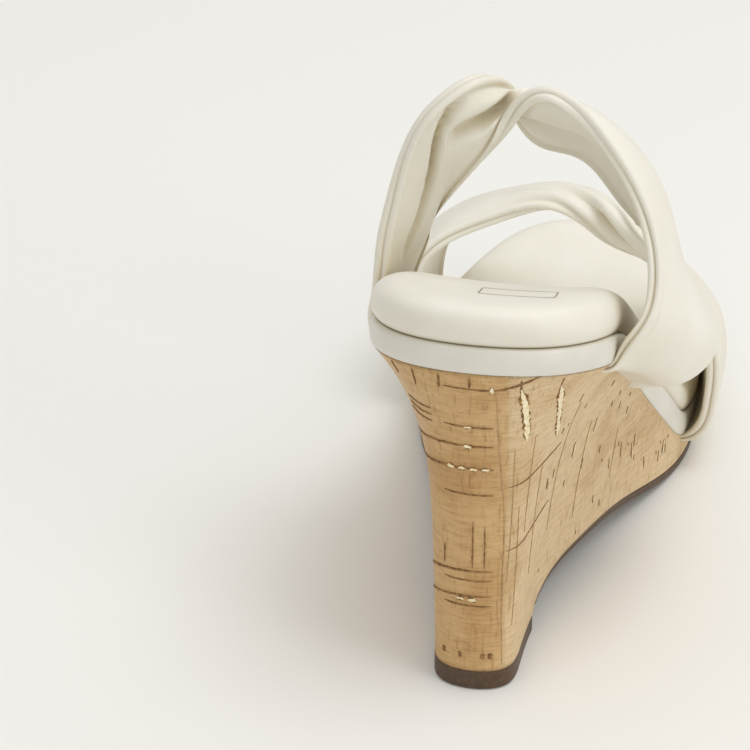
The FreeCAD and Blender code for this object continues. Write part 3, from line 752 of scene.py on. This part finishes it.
# Inside, out of sight: the boards, felt and foam of the footbed, the steel shank and the fixings.
HIDDEN = {"bottom_filler": ("grey_felt", "#8E8C86", "#A5A39C", 0.95, 0.0),
          "insole_board": ("brown_fibreboard", "#7A5B3A", "#8F6E49", 0.85, 0.0),
          "shank_board": ("brown_fibreboard", "#6F5336", "#866745", 0.85, 0.0),
          "platform_foam": ("cream_latex_foam", "#D9CFB4", "#E6DEC8", 0.9, 0.0),
          "steel_shank": ("blued_spring_steel", "#6C7076", "#7D8187", 0.35, 1.0),
          "shank_rivets": ("zinc_plated_steel", "#A9ABAD", "#BCBEC0", 0.3, 1.0),
          "heel_screw": ("zinc_plated_steel", "#A9ABAD", "#BCBEC0", 0.3, 1.0),
          "heel_nails": ("bright_drawn_steel", "#9B9DA0", "#B2B4B6", 0.28, 1.0),
          "top_lift_pins": ("bright_drawn_steel", "#9B9DA0", "#B2B4B6", 0.28, 1.0)}
for name, (finish, dark, light, rough, metal) in HIDDEN.items():
    inner, tree, skin = new_material(finish)
    spot = node(tree, "ShaderNodeTexCoord").outputs["Object"]
    grain = node(tree, "ShaderNodeTexNoise", None, {"Vector": spot, "Scale": 650.0, "Detail": 4.0})
    tree.links.new(node(tree, "ShaderNodeValToRGB", {}, {"Fac": grain.outputs["Fac"]},
                        [(0.35, dark), (0.65, light)]).outputs["Color"], skin.inputs["Base Color"])
    skin.inputs["Roughness"].default_value = rough
    skin.inputs["Metallic"].default_value = metal
    bump = node(tree, "ShaderNodeBump", None,
                {"Height": grain.outputs["Fac"], "Strength": 0.2, "Distance": 0.0002})
    tree.links.new(bump.outputs[0], skin.inputs["Normal"])
    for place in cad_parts[name].material_slots:
        place.link = "OBJECT"
        place.material = inner

# Floor and studio: a white sweep of paper under soft, even light.
bpy.ops.object.select_all(action="DESELECT")
bpy.ops.mesh.primitive_plane_add(size=6.0, location=(0, 0, 0))
floor = bpy.context.object
floor.name = "studio_floor"
paper, tree, skin = new_material("white_backdrop_paper")
skin.inputs["Base Color"].default_value = srgb("#F4F3F0")
skin.inputs["Roughness"].default_value = 0.9
floor.data.materials.append(paper)

world = bpy.data.worlds.new("studio_air")
bpy.context.scene.world = world
world.use_nodes = True
sky = world.node_tree
toward = node(sky, "ShaderNodeTexCoord").outputs["Generated"]
upward = node(sky, "ShaderNodeSeparateXYZ", None, {"Vector": toward}).outputs["Z"]
glow = node(sky, "ShaderNodeValToRGB", {}, {"Fac": upward},
            [(0.0, "#8A8375"), (0.3, "#BDB7AA"), (0.62, "#F4F4F2"), (1.0, "#FFFFFF")]).outputs["Color"]
sky.links.new(glow, sky.nodes["Background"].inputs["Color"])
sky.nodes["Background"].inputs["Strength"].default_value = 0.9


def softbox(name, place, aim, size, power):
    lamp = bpy.data.lights.new(name, "AREA")
    lamp.shape = "DISK"
    lamp.size = size
    lamp.energy = power
    holder = bpy.data.objects.new(name, lamp)
    bpy.context.scene.collection.objects.link(holder)
    holder.location = place
    way = np.array(aim) - np.array(place)
    yaw = math.atan2(way[0], way[1])
    pitch = math.atan2(-way[2], math.hypot(way[0], way[1]))
    holder.rotation_euler = (math.pi / 2 - pitch, 0, -yaw)
    return holder


softbox("key_softbox", (0.5, -0.1, 1.5), (0, 0, 0.05), 0.8, 5.5)
softbox("side_softbox", (1.3, -0.7, 0.6), (0, 0, 0.08), 0.7, 3.2)

eye = bpy.data.cameras.new("camera")
eye.lens = 140.97
eye.sensor_width = 36.0
camera = bpy.data.objects.new("camera", eye)
bpy.context.scene.collection.objects.link(camera)
camera.location = ((HEEL_BACK + np.array([89.3, -606.3, 466.6])) * 0.001).tolist()
camera.rotation_euler = (math.radians(59.1), 0, math.radians(10.6))
bpy.context.scene.camera = camera
bpy.context.scene.view_settings.view_transform = "Standard"
